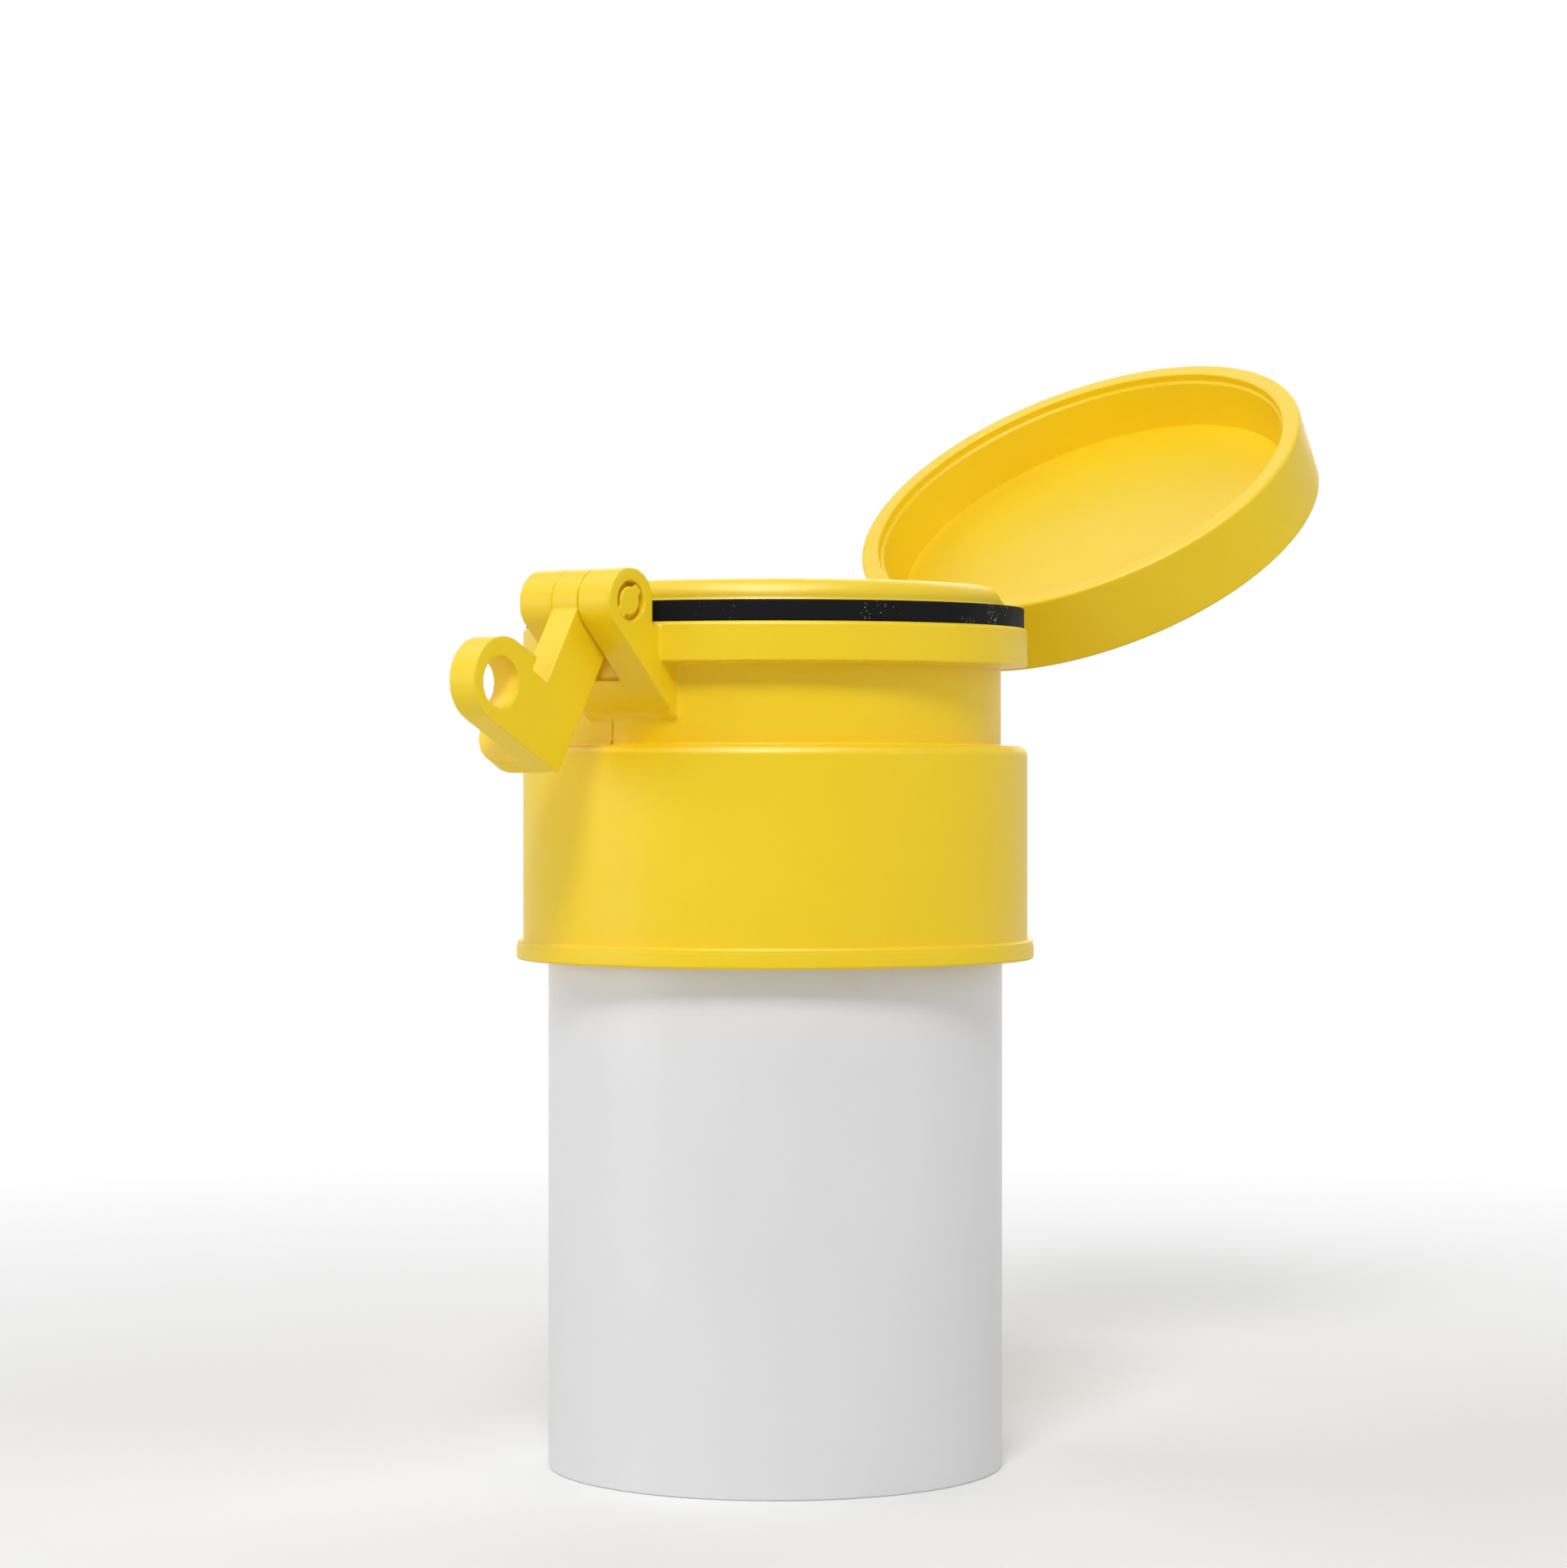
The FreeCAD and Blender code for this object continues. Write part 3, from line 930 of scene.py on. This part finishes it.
# ---- pins and clips ---------------------------------------------------------------------------
def hinge_pin(name, carry, node):
    """Headed pin: the head with its two lugs at +X, the tip at -X."""
    tip_x = -(counterbore_floor_x + pin_tip_length)
    head_x = counterbore_floor_x + pin_head_thickness
    shaft = turned("pin", [
        (0, tip_x, 0),
        (pin_r, tip_x, pin_tip_round),
        (pin_r, counterbore_floor_x, 0),
        (pin_head_r, counterbore_floor_x, 0),
        (pin_head_r, head_x, pin_head_round),
        (0, head_x, 0),
    ], yellow, rod_segments)
    moved(shaft, Matrix.Rotation(math.radians(90), 4, "Y"))
    span = 2 * (counterbore_r - pin_lug_gap)
    head_middle_x = counterbore_floor_x + pin_head_thickness / 2
    lugs = side_prism(sharp([
        (-span / 2, -pin_lug_width / 2),
        (span / 2, -pin_lug_width / 2),
        (span / 2, pin_lug_width / 2),
        (-span / 2, pin_lug_width / 2),
    ]), pin_head_thickness, head_middle_x)
    rim = cross_rod(span / 2, 2 * pin_head_thickness, x_centre=head_middle_x)
    lugs = combined(lugs, rim, "INTERSECT")
    moved(lugs, about_x(pin_lug_angle_deg))
    piece = softened(joined([shaft, lugs]), pin_grain)
    return dressed(carry(piece), name, yellow, "riser", "pin_plastic", node)


def washer_tooth():
    """One sector of the push-on washer, with half a slit at each end of its bore."""
    outer_r = counterbore_r - clip_edge_gap
    bore_r = pin_r + clip_bore_clearance
    root_r = bore_r + clip_slit_depth
    half = math.pi / clip_slits
    root_half = half - math.asin(clip_slit_width / 2 / root_r)
    bore_half = half - math.asin(clip_slit_width / 2 / bore_r)
    outline = arc_points(outer_r, -half, half, tooth_arc_steps)
    outline += arc_points(root_r, half, root_half, 1)
    outline += arc_points(bore_r, bore_half, -bore_half, tooth_arc_steps)
    outline += arc_points(root_r, -root_half, -half, 1)
    face_x = -counterbore_floor_x
    return prism_between("tooth", outline, face_x - clip_thickness, face_x)


def push_on_clip(name, carry, node):
    """Toothed washer at a pin's -X end."""
    washer = washer_tooth()
    run_tree(washer, washer_tree, {
        "Teeth": clip_slits,
        "Weld Distance": washer_weld * MM,
        "Finish": zinc,
    })
    edge = washer.modifiers.new("edge", "BEVEL")
    edge.width = clip_edge_bevel * MM
    edge.segments = clip_bevel_segments
    edge.limit_method = "ANGLE"
    edge.angle_limit = math.radians(clip_bevel_limit_deg)
    settle(washer)
    return dressed(carry(washer), name, zinc, "riser", "clip_steel", node)


# ---- hasp -------------------------------------------------------------------------------------
def hasp():
    """Plate with knuckle, claw, padlock eye and thumb tab, drawn upright and turned to hang."""
    hang = about_x(-hasp_swing_deg)
    eye_bottom = eye_up - eye_r
    claw_tip = eye_bottom - claw_drop
    relief_in = -hasp_front - claw_relief_width
    plate = side_prism([
        (hasp_back, 0, 0),
        (hasp_back, hasp_top - hasp_top_fall, hasp_corner_round),
        (-eye_in, hasp_top, 0),
        (-eye_in, eye_bottom, 0),
        (relief_in, claw_tip, claw_tip_round),
        (relief_in, claw_tip + claw_relief_height, claw_tip_round),
        (-hasp_front, claw_tip + claw_relief_height, 0),
        (-hasp_front, 0, 0),
    ], knuckle_thickness)
    plate = combined(plate, cross_rod(barrel_r, knuckle_thickness), "UNION")
    plate = combined(plate, cross_rod(eye_r, knuckle_thickness, -eye_in, eye_up), "UNION")
    plate = moved(combined(plate, thumb_tab(), "UNION"), hang)
    body = combined(plate, stop_heel(hasp_pin_reach, hasp_pin_z), "UNION")
    through = 2 * knuckle_thickness
    padlock_hole = cross_rod(padlock_hole_r, through, -padlock_hole_in, padlock_hole_up)
    pin_hole = cross_rod(pin_r + pin_knuckle_clearance, through)
    body = without(body, moved(padlock_hole, hang), pin_hole)
    piece = softened(to_front(body), hasp_grain)
    return dressed(piece, "yellow_hasp", yellow, "hasp", "cap_plastic", "hasp")


def thumb_tab():
    """Flat tab beside the upright plate's top corner, drawn as (x, up) points in its plane."""
    far_x = -knuckle_thickness / 2 - tab_reach
    high = hasp_top - hasp_top_fall
    outline = rounded([
        (0, high - tab_height, 0),
        (0, high, 0),
        (far_x, high, tab_end_round),
        (far_x, high - tab_height, tab_root_round),
    ])
    piece = prism_between("tab", outline, hasp_back - tab_thickness, hasp_back)
    swap = Matrix(((0, 1, 0, 0), (1, 0, 0, 0), (0, 0, 1, 0), (0, 0, 0, 1)))
    return moved(piece, swap)


def stop_heel(pin_reach, pin_z):
    """Block behind a hanging knuckle that stops on the flange's edge."""
    face_in = flange_r + heel_gap - pin_reach
    high = flange_top_z - heel_below_flange - pin_z
    low = high - heel_height
    return side_prism(sharp([
        (face_in, high),
        (face_in, low),
        (0, low),
        (0, 0),
        (-barrel_r / 2, 0),
    ]), knuckle_thickness)


# ---- lid --------------------------------------------------------------------------------------
def lid_outline(sunk=0.0):
    """The shell's outline, or one a hair inside it."""
    return [
        (0, lid_disc_z + sunk, 0),
        (lid_disc_r + sunk, lid_disc_z + sunk, 0),
        (lid_wall_r + sunk, lid_rim_z + lid_step_depth, lid_step_round),
        (lid_mouth_r + sunk, lid_rim_z + lid_step_depth, lid_step_round),
        (lid_mouth_r + sunk, lid_rim_z + sunk, lid_rim_round / 2),
        (lid_rim_r - sunk, lid_rim_z + sunk, lid_rim_round),
        (lid_top_r - sunk, lid_top_z - sunk, lid_top_round),
        (0, lid_top_z - sunk, 0),
    ]


def hinge_strap():
    """Knuckle about the lid's pin, with a strap up the closed lid's skirt."""
    root_in = lid_rim_r - strap_root - lid_pin_reach
    low = lid_rim_z - lid_pin_z
    high = low + strap_height
    span = math.hypot(root_in, high)
    touch = math.atan2(high, root_in) - math.acos(barrel_r / span)
    strap = side_prism(sharp([
        (0, 0),
        (barrel_r * math.cos(touch), barrel_r * math.sin(touch)),
        (root_in, high),
        (root_in, low),
        (-barrel_r * math.cos(math.asin(low / barrel_r)), low),
    ]), knuckle_thickness)
    return to_back(combined(strap, cross_rod(barrel_r, knuckle_thickness), "UNION"))


def padlock_lug(side):
    """Ear on the closed lid's top beside the closed hasp's eye."""
    hole_y = -hasp_pin_reach + padlock_hole_in
    hole_z = hasp_pin_z + padlock_hole_up
    middle = side * (knuckle_thickness / 2 + lug_side_gap + lug_thickness / 2)
    base_z = lid_top_z - lid_top_thickness / 2
    lug = side_prism(sharp([
        (hole_y - lug_r, base_z),
        (hole_y + lug_r, base_z),
        (hole_y + lug_r, hole_z),
        (hole_y - lug_r, hole_z),
    ]), lug_thickness, middle)
    lug = combined(lug, cross_rod(lug_r, lug_thickness, hole_y, hole_z, middle), "UNION")
    reach = lid_top_r - lid_top_round / 2
    inside = turned("inside", sharp([
        (0, base_z - lid_window_over),
        (reach, base_z - lid_window_over),
        (reach, base_z + 2 * lid_height),
        (0, base_z + 2 * lid_height),
    ]), yellow)
    lug = combined(lug, inside, "INTERSECT")
    return without(lug, cross_rod(padlock_hole_r, 2 * lug_thickness, hole_y, hole_z, middle))


def lid():
    """Cup with its hinge strap and a pair of padlock lugs, drawn shut and swung open."""
    swing = about_x(-lid_open_deg, lid_pin_z, lid_pin_reach)
    half = knuckle_thickness / 2
    top_z = lid_top_z + lid_window_over
    strap_ground = windowed(turned("ground", lid_outline(blend_sink), yellow),
                            lid_mouth_r + strap_ground_in, lid_rim_r + lid_window_out,
                            lid_rim_z - lid_window_over, top_z, half + ground_side)
    hole_y = -hasp_pin_reach + padlock_hole_in
    lug_ground = windowed(turned("ground", lid_outline(blend_sink), yellow),
                          hole_y - lug_r - lug_window_out, hole_y + lug_r + lug_ground_side,
                          lid_disc_z + ground_lift, top_z,
                          half + lug_side_gap + lug_thickness + lug_ground_side)
    strap = moved(hinge_strap(), swing)
    strap = combined(strap, to_back(stop_heel(lid_pin_reach, lid_pin_z)), "UNION")
    strap = without(strap, to_back(cross_rod(pin_r + pin_knuckle_clearance, 2 * knuckle_thickness)))
    strap = softened(joined([strap, moved(strap_ground, swing)]), soft_grain)
    lugs = joined([padlock_lug(-1), padlock_lug(1), lug_ground])
    lugs = softened(moved(lugs, swing), soft_grain)
    shell = moved(turned("lid", lid_outline(), yellow), swing)
    piece = combined(combined(shell, strap, "UNION"), lugs, "UNION")
    return dressed(piece, "yellow_lid", yellow, "lid", "cap_plastic", "lid")


riser_pipe()
mouth_gasket()
collar()
hinge_pin("hasp_hinge_pin", to_front, "hasp_pin")
hinge_pin("lid_hinge_pin", to_back, "lid_pin")
push_on_clip("hasp_push_on_clip", to_front, "hasp_pin_clip")
push_on_clip("lid_push_on_clip", to_back, "lid_pin_clip")
hasp()
lid()


# ---- stage, light and camera, in metres ----------------------------------------------------------
floor_r = 30.0
floor_fade_start = 0.2
floor_fade_end = 0.8
floor_shade_grey = (0.78, 0.78, 0.78, 1)
floor_seen_grey = (0.9, 0.9, 0.9, 1)
plain_white = (1, 1, 1, 1)
lamp_target = Vector((0, 0, 0.2))
camera_turn_deg = 38.72


def seen_directly(tree):
    """1 for rays from the camera, or by way of a mirror or glass."""
    rays = add_node(tree, "ShaderNodeLightPath").outputs
    seen = add_math(tree, "MAXIMUM", rays["Is Camera Ray"], rays["Is Glossy Ray"])
    return add_math(tree, "MAXIMUM", seen, rays["Is Transmission Ray"])


def floor():
    """Large round floor that fades to plain white away from the object."""
    shape = bmesh.new()
    bmesh.ops.create_circle(shape, cap_ends=True, segments=96, radius=floor_r)
    mesh = bpy.data.meshes.new("floor")
    shape.to_mesh(mesh)
    shape.free()
    piece = new_piece("floor", mesh)
    material = bpy.data.materials.new("pale floor")
    material.use_nodes = True
    tree = material.node_tree
    tree.nodes.clear()
    place = add_node(tree, "ShaderNodeTexCoord").outputs["Object"]
    length = add_node(tree, "ShaderNodeVectorMath", {0: place}, operation="LENGTH").outputs["Value"]
    fade = between(tree, length, floor_fade_start, floor_fade_end, 0.0, 1.0)
    camera_ray = add_node(tree, "ShaderNodeLightPath").outputs["Is Camera Ray"]
    pale = mixed(tree, camera_ray, floor_shade_grey, floor_seen_grey)
    matt = add_node(tree, "ShaderNodeBsdfDiffuse", {"Color": pale})
    glow = add_node(tree, "ShaderNodeEmission", {"Color": plain_white, "Strength": 1.0})
    blend = add_node(tree, "ShaderNodeMixShader", {
        0: add_math(tree, "MULTIPLY", seen_directly(tree), fade),
        1: matt.outputs["BSDF"],
        2: glow.outputs["Emission"],
    })
    add_node(tree, "ShaderNodeOutputMaterial", {"Surface": blend.outputs["Shader"]})
    piece.data.materials.append(material)


def white_world(strength):
    """Even white surroundings that light the object and close the view."""
    world = bpy.data.worlds.new("white surroundings")
    bpy.context.scene.world = world
    world.use_nodes = True
    tree = world.node_tree
    tree.nodes.clear()
    light = add_node(tree, "ShaderNodeBackground", {"Color": plain_white, "Strength": strength})
    plain = add_node(tree, "ShaderNodeBackground", {"Color": plain_white, "Strength": 1.0})
    blend = add_node(tree, "ShaderNodeMixShader", {
        0: seen_directly(tree),
        1: light.outputs["Background"],
        2: plain.outputs["Background"],
    })
    add_node(tree, "ShaderNodeOutputWorld", {"Surface": blend.outputs["Shader"]})


def soft_lamp(name, place, size, power, gloss_only=False):
    """Square lamp that faces the collar; one that is gloss only is seen just as a reflection."""
    lamp = bpy.data.lights.new(name, "AREA")
    lamp.shape = "SQUARE"
    lamp.size = size
    lamp.energy = power
    holder = bpy.data.objects.new(name, lamp)
    bpy.context.scene.collection.objects.link(holder)
    holder.location = place
    holder.rotation_euler = (lamp_target - Vector(place)).to_track_quat("-Z", "Y").to_euler()
    holder.visible_diffuse = not gloss_only


def camera():
    """Level camera beside the socket, turned round from the hasp towards +X."""
    lens = bpy.data.cameras.new("camera")
    lens.lens = 95.66
    lens.sensor_width = 36.0
    lens.shift_x = 0.0052
    lens.shift_y = -0.0062
    holder = bpy.data.objects.new("camera", lens)
    bpy.context.scene.collection.objects.link(holder)
    holder.location = (0.6576, -0.8202, 0.1735)
    holder.rotation_euler = (math.radians(90), 0, math.radians(camera_turn_deg))
    bpy.context.scene.camera = holder


floor()
white_world(strength=0.28)
soft_lamp("key lamp", place=(0.65, -1.0, 1.35), size=0.4, power=12.8)
soft_lamp("left lamp", place=(-1.0, -0.4, 1.2), size=1.0, power=4.4)
soft_lamp("right lamp", place=(1.4, 0.3, 0.9), size=1.2, power=4.8)
soft_lamp("low lamp", place=(-0.9, -1.3, 0.35), size=0.8, power=5.1)
soft_lamp("back lamp", place=(-0.7, 1.3, 1.0), size=1.2, power=8.2)
soft_lamp("overhead card", place=(0.3, -0.6, 1.5), size=1.2, power=32.0, gloss_only=True)
camera()
bpy.context.scene.view_settings.view_transform = "Standard"
